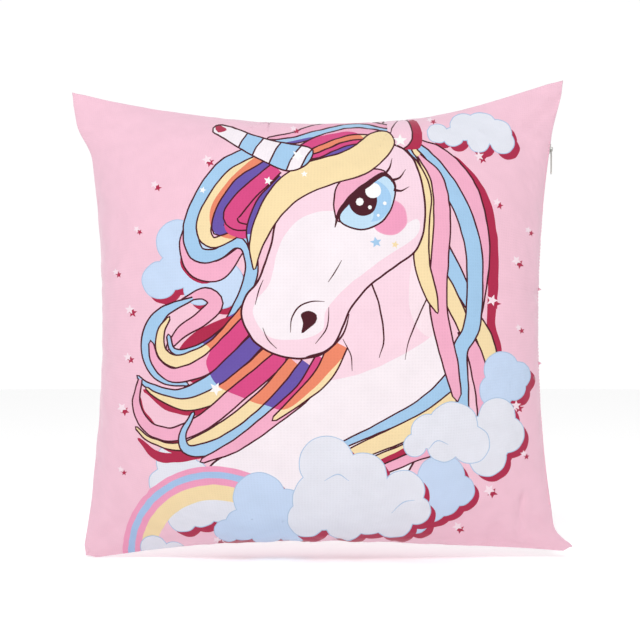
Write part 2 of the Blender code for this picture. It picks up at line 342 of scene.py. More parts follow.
# Neck and chest
shape(
    "coat",
    (70, 120), (86, 104), (84, 66), (98, 26), (106, -12), (112, -46), (100, -86), (60, -150), (-20, -160),
    (-98, -136), (-64, -104), (-30, -72), (2, -34), (24, 10), (40, 60),
    line=1.8,
)
shape(
    "coatShade",
    (20, 10), (44, 34), (84, 62), (96, 26), (103, -4), (76, -26), (36, -44), (-4, -54), (-34, -70),
    (-8, -46),
    line=0,
)
shape("pale", (84, 64), (95, 28), (101, 4), (98, -12), (84, -2), (78, 24), line=0)
stroke((45, 36, 1.4), (53, 12, 1.5), (56, -14, 1.3), (52, -30, 0.5))
stroke((96, 26, 1.2), (85, 2, 1.4), (78, -16, 1.0), (75, -32, 0.4))
stroke((20, -14, 0.6), (27, -28, 1.1), (28, -42, 0.5))

# Locks across the chest
lock("blue", (124, -40, 12), (100, -66, 12), (70, -84, 9), (40, -98, 6), (10, -112, 3))
lock("yellow", (126, -62, 14), (98, -84, 15), (66, -100, 14), (34, -114, 12), (0, -130, 10))
lock("yellow", (118, -92, 5), (84, -106, 5), (50, -120, 4), (24, -132, 2))
stroke((112, -98, 9), (80, -112, 8), (50, -126, 6), ink="crimson")
lock("pink", (112, -108, 8), (84, -118, 8), (56, -130, 7), (30, -142, 3))

# Mane on the right, from the back forwards
stroke(
    (84, 160, 4), (118, 144, 12), (142, 114, 14), (151, 78, 14), (154, 36, 10), (152, 0, 8),
    (157, -24, 10), (156, -54, 5),
    ink="crimson",
)
lock(
    "pink",
    (84, 164, 3), (108, 150, 12), (130, 124, 14), (141, 92, 13), (145, 58, 10), (142, 20, 6),
    (138, -6, 2),
)
lock("yellow", (116, 34, 8), (132, 10, 10), (147, -16, 13), (150, -40, 11), (143, -64, 1))
lock("pink", (126, -6, 8), (137, -28, 12), (145, -62, 13), (143, -104, 2))
lock("blue", (98, 92, 6), (110, 62, 12), (122, 38, 12), (134, 12, 6))
lock("yellow", (100, 52, 8), (113, 28, 12), (124, 4, 10), (130, -18, 3))
lock(
    "blue",
    (78, 166, 2), (96, 150, 7), (115, 122, 12), (130, 90, 13), (137, 56, 13), (135, 0, 13),
    (124, -24, 12), (124, -50, 13), (129, -86, 6),
)
lock("blue", (74, 162, 2), (90, 144, 6), (98, 126, 7), (100, 104, 1))
lock("yellow", (82, 158, 2), (94, 140, 7), (101, 118, 11), (98, 84, 12), (96, 58, 6), (98, 44, 0.5))
lock(
    "pink",
    (88, 150, 2), (104, 128, 10), (108, 96, 13), (106, 60, 14), (104, 28, 14), (106, 2, 14),
    (115, -36, 12), (121, -64, 7),
)
lock(
    "yellow",
    (64, 160, 2), (82, 142, 8), (92, 116, 11), (90, 84, 11), (90, 52, 12), (98, 24, 9), (103, 10, 1),
)

# Mane on the left, from the top and back forwards
stroke((-118, 70, 5), (-118, 52, 10), (-100, 40, 11), (-78, 56, 4), ink="crimson")
lock("pink", (-112, 96, 3), (-119, 72, 9), (-110, 50, 15), (-90, 46, 16), (-72, 62, 6), (-62, 72, 2))
lock(
    "blue",
    (-60, 154, 9), (-86, 138, 12), (-104, 112, 13), (-114, 84, 13), (-109, 62, 12), (-92, 60, 9),
    (-76, 70, 8), (-64, 66, 9), (-60, 46, 10), (-68, 22, 8), (-84, -6, 5),
)
lock(
    "yellow",
    (-48, 148, 9), (-76, 132, 11), (-94, 108, 12), (-103, 84, 12), (-95, 71, 8), (-80, 76, 7),
    (-68, 82, 2),
)
lock(
    "blue",
    (-44, 142, 8), (-70, 122, 12), (-86, 98, 12), (-90, 82, 8), (-76, 84, 6), (-64, 74, 4),
    (-57, 58, 3),
)
shape("magenta", (-40, 140), (-70, 114), (-84, 92), (-80, 78), (-60, 76), (-52, 96), (-40, 120), line=0)
lock("pink", (-38, 138, 10), (-62, 116, 13), (-78, 96, 13), (-74, 86, 7), (-62, 84, 3))
lock("blue", (-32, 128, 8), (-50, 106, 10), (-60, 84, 8), (-60, 66, 3))

# Mane low on the left: hooks that sweep down from behind the muzzle
stroke(
    (-40, 10, 6), (-78, 0, 12), (-108, -14, 12), (-122, -34, 12), (-108, -50, 9), (-84, -56, 3),
    ink="crimson",
)
stroke((-60, -40, 6), (-96, -72, 12), (-130, -74, 11), (-156, -60, 3), ink="crimson")
stroke((-40, -60, 6), (-90, -104, 13), (-130, -110, 12), (-158, -84, 10), (-162, -64, 3), ink="crimson")
stroke((-90, -114, 6), (-140, -120, 9), (-162, -104, 3), ink="crimson")
lock("pink", (-122, 20, 0.5), (-102, 26, 9), (-92, 17, 12), (-104, 4, 11), (-122, -8, 9), (-134, -22, 3))
lock("blue", (-112, 22, 1), (-138, 10, 8), (-150, -8, 13), (-150, -32, 13), (-138, -48, 10), (-118, -54, 2))
lock("blue", (-52, 26, 8), (-72, 2, 8), (-94, -16, 7), (-116, -26, 6), (-130, -24, 3), (-134, -12, 2))
lock(
    "yellow",
    (-50, 30, 10), (-70, 4, 11), (-94, -22, 12), (-124, -34, 10), (-140, -26, 8), (-141, -8, 5),
    (-134, 4, 1.5),
)
lock(
    "pink",
    (-54, 10, 12), (-76, -14, 14), (-102, -38, 14), (-130, -46, 11), (-146, -34, 7), (-150, -18, 3),
)
lock("blue", (-48, -8, 13), (-70, -30, 14), (-96, -52, 12), (-126, -64, 9), (-152, -56, 4), (-162, -48, 1))
lock(
    "yellow",
    (-38, -22, 14), (-64, -46, 15), (-92, -64, 12), (-120, -72, 9), (-146, -64, 3), (-154, -58, 1),
)
lock(
    "pink",
    (-160, -50, 2), (-164, -72, 6), (-154, -92, 9), (-132, -99, 11), (-104, -88, 13), (-72, -62, 14),
    (-36, -32, 13),
)
lock(
    "yellow",
    (-22, -34, 12), (-44, -60, 12), (-72, -84, 11), (-104, -104, 10), (-128, -110, 5), (-152, -104, 3),
    (-164, -94, 1),
)
lock(
    "blue",
    (-10, -36, 13), (-28, -60, 14), (-56, -88, 14), (-88, -108, 12), (-116, -113, 8), (-122, -100, 5),
    (-112, -80, 1.5),
)
lock("pink", (4, -32, 15), (-14, -60, 14), (-42, -84, 12), (-74, -108, 9), (-104, -122, 3))
lock("yellow", (16, -18, 16), (4, -44, 14), (-18, -66, 9), (-40, -84, 3))

# Ears, and the hair between them and the horn
shape("crimson", (70, 158), (78, 182), (88, 184), (92, 168), (88, 156), line=0)
shape("ear", (54, 166), (58, 182), (70, 193), (80, 182), (82, 166), (72, 156))
stroke((62, 166, 0.5), (66, 178, 1.2), (72, 186, 0.5))
lock("pink", (60, 176, 6), (32, 182, 8), (0, 177, 7), (-26, 168, 5), (-46, 166, 1))
lock("blue", (60, 172, 6), (32, 177, 7), (2, 171, 6), (-22, 164, 5), (-40, 163, 1))
lock("pink", (58, 168, 8), (32, 171, 10), (2, 164, 9), (-20, 154, 4))
lock("yellow", (56, 164, 6), (30, 165, 7), (4, 156, 7), (-14, 149, 3))
lock("pink", (54, 161, 6), (28, 160, 6), (6, 152, 5), (-10, 147, 2))
lock("blue", (52, 158, 7), (26, 154, 8), (6, 146, 6), (-10, 141, 2))

# Head
shape(
    "coatShade",
    (-36, 96), (-44, 62), (-54, 36), (-64, 24), (-68, 8), (-62, -9), (-50, -21), (-30, -29), (-6, -29),
    (10, -20),
    (19, -3), (28, 16), (46, 36), (66, 51), (86, 68), (92, 104), (82, 146), (56, 160), (14, 142),
    (-22, 118),
    line=1.8,
)
shape(
    "coat",
    (-34, 72), (-14, 94), (16, 98), (60, 84), (86, 92), (84, 76), (58, 58), (28, 36), (6, 12), (2, -6),
    (-16, -14),
    (-44, -12), (-58, 6), (-56, 20), (-44, 36),
    line=0,
)
stroke((26, 8, 0.8), (20, -10, 1.8), (6, -24, 2.0), (-12, -30, 1.0))
stroke((8, 14, 0.5), (6, -4, 1.2), (-4, -18, 0.5))
shape("line", (-17, 8), (-10, 11), (-3, 7), (-4, 0), (-11, -6), (-16, -9), (-15, 0), line=0)
stroke((-26, -8, 0.5), (-25, 4, 1.2), (-19, 14, 1.4), (-8, 19, 1.2), (4, 19, 0.4))
stroke((7, 36, 0.6), (13, 45, 1.1), (19, 55, 0.5))
stroke((-57, 16, 0.5), (-54, 28, 1.1), (-50, 38, 0.5))
stroke((-50, -4, 0.4), (-46, -14, 1.1), (-38, -22, 0.5))

# Blush and the small stars below the eye
disc(61, 93, 16, "pink")
disc(61, 93, 15.2, "rainbowPink")
star(49, 71, 6.5, 8, ink="blue", drop=False)
star(66, 69, 4.5, -10, ink="yellow", drop=False)

# Eye
shape("pink", (17, 90), (13, 104), (15, 119), (24, 129), (44, 136), (58, 133), (50, 122), (30, 108))
eye = shape(
    "irisLight",
    (18, 91), (26, 108), (42, 124), (57, 131), (65, 122), (64, 106), (54, 90), (36, 83),
    line=1.6,
)
paint(ring(44, 108, 19), "iris", eye)
paint(ring(36, 96, 11), "irisLight", eye)
paint(ring(38, 107, 12.5), "line", eye)
disc(47, 117, 7, "white")
disc(35, 107, 3.6, "white")
disc(44, 102, 1.8, "white")
disc(57, 106, 1.6, "white")
disc(51, 95, 1.3, "white")
stroke(
    (13, 84, 0.8), (17, 97, 3.6), (29, 112, 5.2), (45, 125, 5.0), (57, 132, 3.8), (66, 124, 2.2),
    (66, 114, 0.8),
)
stroke((57, 131, 2.6), (62, 138, 1.6), (64, 147, 0.4))
stroke((63, 126, 2.8), (71, 129, 1.7), (76, 137, 0.4))
stroke((65, 118, 2.6), (72, 117, 1.6), (79, 121, 0.4))

# Forelock
shape(
    "yellow",
    (-58, 48), (-61, 72), (-54, 98), (-38, 124), (-14, 141), (24, 153), (46, 170), (60, 172), (66, 162),
    (58, 148),
    (40, 133), (12, 124), (-14, 113), (-32, 98), (-46, 78), (-54, 60),
)

# Horn
horn = shape(
    "coat",
    (-94, 178), (-84, 178), (-62, 169), (-36, 161), (-10, 156), (-8, 148), (-16, 139), (-30, 136),
    (-50, 145),
    (-70, 156), (-88, 168), (-96, 173),
    line=1.5,
)
for x, y, width in ((-62, 161, 13), (-31, 151, 15), (-8, 146, 6)):
    band = [(x - 8, y - 16), (x - 1, y), (x + 10, y + 15)]
    paint(ribbon([(*point, width + 2 * pen) for point in band]), "line", horn)
    paint(ribbon([(*point, width) for point in band]), "blue", horn)
shape("crimson", (-95, 178), (-90, 179), (-84, 174), (-92, 172), line=0, within=horn)

# Rainbow and the clouds along the bottom
cloud("cloud", (-124, -176, 13), (-108, -168, 16), (-90, -162, 17), (-74, -170, 15))
for radius, ink in ((87, "rainbowPink"), (82, "rainbowBlue"), (76, "rainbowPink"), (70, "yellow")):
    width = radius - 56
    paint(ribbon([(x, y, width) for x, y in ring(-94, -214, radius - width / 2, 50, 184)]), ink)
cloud("cloud", (-152, -206, 12), (-134, -210, 10), (-120, -214, 8), drop=None)
cloud("sky", (162, -42, 16), (178, -47, 12), (158, -60, 16), (174, -58, 11))
cloud("cloud", (158, -84, 17), (168, -100, 16), (150, -120, 17), (144, -98, 15), (158, -110, 12))
cloud("sky", (108, -138, 21), (98, -162, 17), (124, -150, 14), (86, -178, 12), (112, -160, 13))
cloud("cloud", (118, -92, 22), (96, -96, 15), (84, -108, 10), (134, -108, 17), (110, -108, 15), drop=None)
cloud(
    "sky",
    (-54, -156, 23), (-70, -182, 15), (-84, -188, 11), (-30, -170, 22), (-48, -190, 14),
    (-26, -190, 12),
)
cloud(
    "cloud",
    (6, -124, 24), (38, -136, 21), (4, -158, 28), (44, -162, 28), (74, -150, 19), (-12, -176, 17),
    (22, -182, 16), (66, -178, 17), (86, -168, 13),
)
stroke((64, -170, 0.4), (74, -160, 0.9), (84, -158, 0.4), ink="cloudEdge")
stroke((96, -112, 0.4), (104, -104, 0.9), (114, -108, 0.4), ink="cloudEdge")
stroke((4, -140, 0.4), (16, -134, 0.9), (26, -140, 0.4), ink="cloudEdge")

# Stars
for x, y, size in (
    (-101, 146, 6), (-148, 124, 5), (-170, 12, 6), (-172, -30, 5), (-178, -76, 6), (-164, 84, 4),
    (-184, 46, 4),
    (143, 150, 6), (158, 108, 5), (176, 56, 6), (153, 20, 7), (178, -4, 4), (176, -74, 6), (152, -150, 7),
    (124, -184, 6), (184, -118, 4), (-94, -198, 5), (-180, -132, 4), (-24, 176, 4), (100, 186, 4),
    (188, 84, 4),
):
    star(x, y, size, (x * 7 + y * 3) % 72, ink="pale")
for x, y, size in ((-20, 149, 7), (-14, 132, 4), (-46, 126, 5), (72, 164, 8), (-92, -58, 8), (-104, 118, 4)):
    star(x, y, size, (x * 5) % 72, drop=False)


def layOut(points):
    # finds where on the flat panel, from -1 to 1 each way, points seen from the front lie
    x, z = points[:, 0] / 1000, points[:, 1] / 1000 + middleZ
    p, q = x / halfWidth, points[:, 1] / 1000 / halfHeight
    for _ in range(40):
        atX, _, atZ = filledShape(p, q)
        across, up = pulled(p, q)
        p = np.clip(p + (x - atX - across) / halfWidth, -1, 1)
        q = np.clip(q + (z - atZ - up) / halfHeight, -1, 1)
    return np.stack([p, q], axis=1)


def inside(points, outline):
    # which points have the outline wound round them
    turns = np.zeros(len(points), int)
    for (ax, ay), (bx, by) in zip(outline, np.roll(outline, -1, 0)):
        left = (bx - ax) * (points[:, 1] - ay) - (points[:, 0] - ax) * (by - ay)
        turns += ((ay <= points[:, 1]) & (by > points[:, 1]) & (left > 0)).astype(int)
        turns -= ((ay > points[:, 1]) & (by <= points[:, 1]) & (left < 0)).astype(int)
    return turns != 0


def cutPanel(shapes):
    # the flat panel cut into triangles along every printed outline, and the ink of each triangle
    steps = np.linspace(-1, 1, cushion["weaveCells"] + 1)
    rows = [share * tuckShare for share in (0.15, 0.4, 0.7, 1.0)] + [-0.0035, -0.009, -0.016]
    steps = np.unique(np.concatenate([steps] + [[1 + row, -1 - row] for row in rows]))
    gridP, gridQ = np.meshgrid(steps, steps)
    points = [np.stack([gridP.ravel(), gridQ.ravel()], axis=1)]
    count = gridP.size
    edges = []
    laid = []
    for outline, ink, within in shapes:
        flat = layOut(outline)
        laid.append((flat, ink, None if within is None else layOut(within)))
        points.append(flat)
        edges += [(count + i, count + (i + 1) % len(flat)) for i in range(len(flat))]
        count += len(flat)
    places = [Vector(point) for point in np.concatenate(points).tolist()]
    cut = geometry.delaunay_2d_cdt(places, edges, [], 0, 1e-4, False)
    flat = np.array([tuple(point) for point in cut[0]])
    faces = np.array(cut[2])
    middles = flat[faces].mean(axis=1)
    ink = np.full(len(faces), inkNames.index("ground"))
    for outline, name, within in laid:
        near = np.flatnonzero(((middles >= outline.min(0)) & (middles <= outline.max(0))).all(axis=1))
        hit = near[inside(middles[near], outline)]
        if within is not None:
            hit = hit[inside(middles[hit], within)]
        ink[hit] = inkNames.index(name)
    return flat, faces, ink


def unit(vectors):
    return vectors / np.maximum(np.linalg.norm(vectors, axis=-1, keepdims=True), 1e-12)


def outward(grid, sign):
    # unit normals of a simulated panel, out of the cushion
    normal = unit(np.cross(np.gradient(grid, axis=0), np.gradient(grid, axis=1)))
    return np.where(normal[..., 1:2] * sign < 0, -normal, normal)


def withSeam(grid, sign):
    # a simulated panel with one more row all round: its seam allowance, turned in behind the seam
    # or, along the zip, folded back under the panel
    steps = np.linspace(-1, 1, cushion["cells"] + 1)
    closing, gap = cushion["zipClosing"], cushion["panelGap"]
    fromMiddle = np.abs(grid[:, -1, 2] - middleZ)
    along = ease(cushion["zipReach"] + closing - fromMiddle, 0, closing)[:, None]
    opened = along * ease(steps, 0.78)[None, :]
    grid = grid.copy()
    grid[..., 1] += sign * (gap + (cushion["zipSlot"] - gap) * opened)
    tuck = cushion["seamTuck"] * (1 - 0.75 * np.abs(steps) ** 10)
    ends = np.sign(steps) * np.abs(steps) ** 16 * tuck
    out = np.zeros((len(steps) + 2, len(steps) + 2, 3))
    out[1:-1, 1:-1] = grid
    for row, edge, way in ((0, grid[0], 1), (-1, grid[-1], -1)):
        out[row, 1:-1] = edge + np.stack([-ends, 0 * ends, 0 * ends + way * tuck], axis=1)
    for column, edge, way in ((0, grid[:, 0], 1), (-1, grid[:, -1], -1)):
        out[1:-1, column] = edge + np.stack([0 * ends + way * tuck, 0 * ends, -ends], axis=1)
    under = grid[:, -2] - outward(grid, sign)[:, -2] * cushion["foldUnder"]
    out[1:-1, -1] += (under - out[1:-1, -1]) * along
    for row in (0, -1):
        for column in (0, -1):
            corner = Vector(out[1 if row == 0 else -2, 1 if column == 0 else -2])
            inwards = (Vector((0, 0, middleZ)) - corner).normalized()
            out[row, column] = corner + inwards * cushion["seamTuck"] * 0.5
    return out


def onPanel(grid, flat):
    # places flat points on a panel by smooth interpolation between its simulated points
    cells = cushion["cells"]
    share = np.abs(flat)
    at = np.sign(flat) * (np.minimum(share, 1) * cells / 2 + np.clip((share - 1) / tuckShare, 0, 1))
    at = at + cells / 2 + 1
    low = np.clip(np.floor(at).astype(int), 0, cells + 1)
    t = at - low
    weights = [-t + 2 * t**2 - t**3, 2 - 5 * t**2 + 3 * t**3, t + 4 * t**2 - 3 * t**3, t**3 - t**2]
    weights = np.stack(weights) / 2
    places = np.zeros((len(flat), 3))
    for i in range(4):
        row = np.clip(low[:, 1] + i - 1, 0, cells + 2)
        for j in range(4):
            column = np.clip(low[:, 0] + j - 1, 0, cells + 2)
            places += (weights[i, :, 1] * weights[j, :, 0])[:, None] * grid[row, column]
    return places


# Folds in the filled cover: each starts and ends at a point in the print's millimetres, so deep and so wide
frontFolds = [
    ((216, 200), (172, 168), 6.0, 6),
    ((210, 176), (188, 160), 2.4, 6),
    ((206, 108), (184, 92), 3.0, 8),
    ((204, 24), (160, 33), 6.0, 7),
    ((203, 4), (174, 16), 3.0, 6),
    ((201, -64), (180, -52), 2.2, 7),
    ((183, -158), (194, -207), 5.0, 5),
    ((205, -188), (166, -170), 3.0, 6),
    ((150, -206), (162, -176), 2.6, 7),
    ((-34, -206), (-31, -140), 4.0, 8),
    ((14, -206), (23, -128), 4.2, 9),
    ((66, -206), (62, -168), 2.4, 7),
    ((-90, -206), (-86, -176), 2.0, 7),
    ((-203, 108), (-178, 90), 3.0, 10),
    ((-202, 70), (-180, 58), 2.6, 9),
    ((-202, -30), (-184, -36), 1.8, 8),
    ((-206, -90), (-176, -82), 3.0, 9),
    ((-208, -128), (-172, -140), 2.6, 9),
    ((-214, -208), (-166, -172), 4.5, 7),
    ((-214, 206), (-174, 172), 4.0, 8),
    ((-150, 200), (-138, 170), 2.0, 8),
    ((-60, 196), (-56, 176), 1.6, 7),
    ((96, 198), (88, 172), 2.0, 7),
]
puckers = {"count": 54, "deepest": 2.0, "longest": 46, "seed": 11}  # small ones all round each seam


def randomPuckers(seed):
    # short folds that run in from the seam, in flat millimetres
    rng = np.random.default_rng(seed)
    half = cushion["flat"] * 500
    folds = []
    for i in range(puckers["count"]):
        place, lean = rng.uniform(-0.94, 0.94) * half, rng.uniform(-0.35, 0.35)
        length, depth = rng.uniform(0.35, 1) * puckers["longest"], rng.uniform(0.3, 1) * puckers["deepest"]
        width = rng.uniform(3.0, 6.5)
        start, end = (place, half), (place + lean * length, half - length)
        for _ in range(i % 4):
            start, end = (-start[1], start[0]), (-end[1], end[0])
        folds.append((start, end, depth, width))
    return folds


def fold(places, flat, normal, folds):
    # pushes the fabric in along each fold and out a little beside it
    at = flat * cushion["flat"] * 500
    depth = np.zeros(len(at))
    for start, end, deep, width in folds:
        start, along = np.array(start), np.subtract(end, start)
        share = (at - start) @ along / (along @ along)
        off = at - start - np.clip(share, 0, 1)[:, None] * along
        apart = np.sqrt((off * off).sum(1)) / width
        taper = np.clip(1 - np.clip(share, 0, 1), 0, 1) ** 0.8
        depth += deep * taper * (np.exp(-apart**2) - 0.4 * np.exp(-((apart / 2.1) ** 2)))
    byZip = np.where(np.abs(flat[:, 1]) < 0.86, 0.07, 0.02)
    edge = np.clip((1 - np.abs(flat[:, 1])) / 0.02, 0, 1) * np.clip((1 - flat[:, 0]) / byZip, 0, 1) ** 2
    edge *= np.clip((1 + flat[:, 0]) / 0.02, 0, 1)
    depth = np.clip(depth, -9, 9) * edge / 1000
    room = np.abs(places[:, 1])  # a fold near a seam stays clear of the other panel
    depth = np.where(depth > 0, depth * room / (room + depth + 1e-6), depth)
    return places - normal * depth[:, None]


def linear(code):
    channels = [int(code[i : i + 2], 16) / 255 for i in (1, 3, 5)]
    return [c / 12.92 if c <= 0.04045 else ((c + 0.055) / 1.055) ** 2.4 for c in channels]


def addNode(material, kind, inputs=(), **settings):
    # a node with its settings, and its sockets each linked or given a value
    node = material.node_tree.nodes.new(kind)
    for name, value in settings.items():
        setattr(node, name, value)
    for name, value in dict(inputs).items():
        if isinstance(value, bpy.types.NodeSocket):
            material.node_tree.links.new(value, node.inputs[name])
        else:
            node.inputs[name].default_value = value
    return node


def newMaterial(name, colour, roughness, **sockets):
    material = bpy.data.materials.new(name)
    material.use_nodes = True
    shader = material.node_tree.nodes["Principled BSDF"]
    shader.inputs["Base Color"].default_value = (*linear(colour), 1)
    shader.inputs["Roughness"].default_value = roughness
    for socket, value in sockets.items():
        shader.inputs[socket.replace("_", " ")].default_value = value
    return material, shader


def link(material, output, shader, socket):
    material.node_tree.links.new(output, shader.inputs[socket])


waveRepeat = 0.31416  # a wave texture repeats at this over its scale


def cloth(name, colour, printed, weave):
    # woven polyester with a brushed, peach-skin face: threads as a fine bump, a soft nap that catches light
    # at grazing angles, dye a little uneven, and painted shade that darkens the hollows between the threads
    material, shader = newMaterial(name, colour, 0.88, Sheen_Weight=0.35, Sheen_Roughness=0.45)
    shader.inputs["Specular IOR Level"].default_value = 0.25
    flatMap = addNode(material, "ShaderNodeUVMap", uv_map="flat").outputs["UV"]
    threads = waveRepeat * cushion["flat"] / weave
    woven = addNode(material, "ShaderNodeMath", operation="MAXIMUM")
    for i, way in enumerate("XY"):  # warp and weft
        wave = addNode(material, "ShaderNodeTexWave", {"Vector": flatMap, "Scale": threads, "Distortion": 0.6,
            "Detail": 1.0}, wave_type="BANDS", bands_direction=way)
        link(material, wave.outputs["Fac"], woven, i)
    nap = addNode(material, "ShaderNodeTexNoise", {"Vector": flatMap, "Scale": 260.0, "Detail": 3.0})
    slubs = addNode(material, "ShaderNodeTexNoise", {"Vector": flatMap, "Scale": 22.0, "Detail": 4.0})
    height = addNode(material, "ShaderNodeMath", operation="MULTIPLY_ADD")
    link(material, nap.outputs["Fac"], height, 0)
    height.inputs[1].default_value = 0.7
    link(material, woven.outputs["Value"], height, 2)
    bump = addNode(material, "ShaderNodeBump", {"Height": height.outputs["Value"], "Strength": 0.22,
        "Distance": 0.00025})
    link(material, bump.outputs["Normal"], shader, "Normal")
    shade = addNode(material, "ShaderNodeMapRange", {"Value": slubs.outputs["Fac"], "From Min": 0.3,
        "From Max": 0.7, "To Min": 0.78, "To Max": 0.82})
    # painted shade and light: the colour follows the weave's height, darker in the hollows between threads,
    # lighter on their tops
    thread = addNode(material, "ShaderNodeMapRange", {"Value": woven.outputs["Value"], "To Min": 0.965,
        "To Max": 1.01})
    both = addNode(material, "ShaderNodeMath", operation="MULTIPLY")
    link(material, shade.outputs["Result"], both, 0)
    link(material, thread.outputs["Result"], both, 1)
    toneAndShade = addNode(material, "ShaderNodeHueSaturation", {"Color": (*linear(colour), 1),
        "Value": both.outputs["Value"]})
    if printed:
        ink = addNode(material, "ShaderNodeAttribute", attribute_name="print")
        link(material, ink.outputs["Color"], toneAndShade, "Color")
    link(material, toneAndShade.outputs["Color"], shader, "Base Color")
    return material


# The real threads stand about 0.4 mm apart. They are drawn coarser, so that they show.
printedPolyester = cloth("printed_peach_skin_polyester", inks["ground"], True, 0.0021)
plainPolyester = cloth("dyed_peach_skin_polyester", inks["ground"], False, 0.0021)
tuckShare = cushion["seamTuck"] / (cushion["flat"] / 2)


def newPiece(name, mesh, body, slot, material, *nodes):
    mesh.materials.clear()
    mesh.materials.append(material)
    piece = bpy.data.objects.new(name, mesh)
    bpy.context.scene.collection.objects.link(piece)
    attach(piece, body)
    if nodes:
        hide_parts(*nodes)
    print(name, len(mesh.polygons), "faces")
    return piece


def shell(piece, thickness, weights=None):
    # gives a sheet its thickness, inwards
    wall = piece.modifiers.new("thickness", "SOLIDIFY")
    wall.thickness = thickness
    wall.offset = -1
    if weights is not None:
        group = piece.vertex_groups.new(name="thickness")
        for i, weight in enumerate(weights.tolist()):
            group.add([i], weight, "REPLACE")
        wall.vertex_group = "thickness"


seamed = {side: withSeam(panels[side], sign) for side, sign in (("front", -1), ("back", 1))}


def coverPanel(name, side, sign, shapes, folds, material, slot, *nodes):
    flat, faces, ink = cutPanel(shapes)
    places = onPanel(seamed[side], flat)
    if sign > 0:
        faces = faces[:, ::-1]
    mesh = bpy.data.meshes.new(name)
    mesh.from_pydata(places.tolist(), [], faces.tolist())
    normal = np.empty(len(flat) * 3, np.float32)
    mesh.vertex_normals.foreach_get("vector", normal)
    places = fold(places, flat, normal.reshape(-1, 3).astype(float), folds)
    mesh.vertices.foreach_set("co", places.ravel())
    mesh.uv_layers.new(name="flat").data.foreach_set("uv", ((flat[faces.ravel()] + 1) / 2).ravel())
    if shapes:
        colours = np.array([linear(code) + [1.0] for code in inks.values()])
        printed = mesh.color_attributes.new("print", "FLOAT_COLOR", "CORNER")
        printed.data.foreach_set("color", np.repeat(colours[ink], 3, axis=0).ravel())
    bm = bmesh.new()
    bm.from_mesh(mesh)
    bmesh.ops.dissolve_degenerate(bm, dist=0.00006, edges=bm.edges)
    bmesh.ops.triangulate(bm, faces=[face for face in bm.faces if len(face.verts) > 3])
    bm.to_mesh(mesh)
    bm.free()
    across = np.empty(len(mesh.vertices) * 3)
    mesh.vertices.foreach_get("co", across)
    across = np.abs(across[1::3])
    mesh.shade_smooth()
    piece = newPiece(name, mesh, "cushion", slot, material, *nodes)
    # where the two panels lie together, each is pressed thin enough to stay on its own side
    shell(piece, cushion["fabric"], np.clip(across / cushion["fabric"] - 0.15, 0.1, 1))
    return piece


placedFolds = []
for start, end, depth, width in frontFolds:
    ends = layOut(np.array([start, end], float)) * cushion["flat"] * 500
    placedFolds.append((tuple(ends[0]), tuple(ends[1]), depth, width))
frontPuckers = placedFolds + randomPuckers(puckers["seed"])
backPuckers = randomPuckers(puckers["seed"] + 1)
coverPanel(
    "cover_front", "front", -1, painted, frontPuckers, printedPolyester, "printed_fabric",
    "cover_front_panel",
)
coverPanel(
    "cover_back", "back", 1, [], backPuckers, plainPolyester, "plain_fabric",
    "cover_back_panel", "seam_allowance",
)

# Inner pad: a spun-bonded casing tight with fibre
pad = {
    "casing": (0.955, 0.935),  # size as a share of the cover's, in its plane and through it
    "fibre": (0.950, 0.925),
    "step": 3,  # of the cover's cloth cells, to each of the pad's
}


def padForm(name, size, slot, material, fill, *nodes):
    inPlane, through = size
    every = slice(None, None, pad["step"])
    bm = bmesh.new()
    for side in ("front", "back"):
        grid = panels[side][every, every] * (inPlane, through, inPlane) + (0, 0, middleZ * (1 - inPlane))
        rows = [[bm.verts.new(point) for point in row] for row in grid.tolist()]
        for low, high in zip(rows, rows[1:]):
            for i in range(len(low) - 1):
                bm.faces.new((low[i], low[i + 1], high[i + 1], high[i]))
    bmesh.ops.remove_doubles(bm, verts=bm.verts, dist=1e-5)
    bmesh.ops.recalc_face_normals(bm, faces=bm.faces)
    mesh = bpy.data.meshes.new(name)
    bm.to_mesh(mesh)
    bm.free()
    mesh.shade_smooth()
    piece = newPiece(name, mesh, "cushion", slot, material, *nodes)


def relief(material, shader, pattern, colour, distance, darkest, lightest):
    # a pattern's relief, with painted shade in its hollows and painted light on its raised parts
    bump = addNode(material, "ShaderNodeBump", {"Height": pattern, "Strength": 0.6, "Distance": distance})
    link(material, bump.outputs["Normal"], shader, "Normal")
    # painted shade and light: the colour is darker where the relief is low and lighter where it is high
    reliefShade = addNode(material, "ShaderNodeMapRange", {"Value": pattern, "To Min": darkest,
        "To Max": lightest})
    toneAndShade = addNode(material, "ShaderNodeHueSaturation", {"Color": (*linear(colour), 1),
        "Value": reliefShade.outputs["Result"]})
    link(material, toneAndShade.outputs["Color"], shader, "Base Color")


def fleecy(name, colour, roughness, scale, distance):
    # a matt fibre surface, uneven in height, with painted shade in its low parts and painted light on its
    # high parts
    material, shader = newMaterial(name, colour, roughness, Sheen_Weight=0.2)
    where = addNode(material, "ShaderNodeTexCoord").outputs["Object"]
    web = addNode(material, "ShaderNodeTexNoise", {"Vector": where, "Scale": scale, "Detail": 6.0})
    relief(material, shader, web.outputs["Fac"], colour, distance, 0.92, 1.04)
    return material


# Spun-bonded polypropylene: a flat matt web of fine fibres
casingWeb = fleecy("spun_bonded_polypropylene", "#F4F3EF", 0.85, 900.0, 0.00015)
# Loose crimped polyester fibre: soft, white and lumpy
crimpedFibre = fleecy("crimped_polyester_fibre", "#FAFAF8", 0.95, 120.0, 0.0012)
padForm("inner_pad", pad["casing"], "pad_casing", casingWeb, 0.8, "pad_casing_front", "pad_casing_back")
padForm("fibre_filling_body", pad["fibre"], "polyester_fibre", crimpedFibre, 0.8, "fibre_filling")

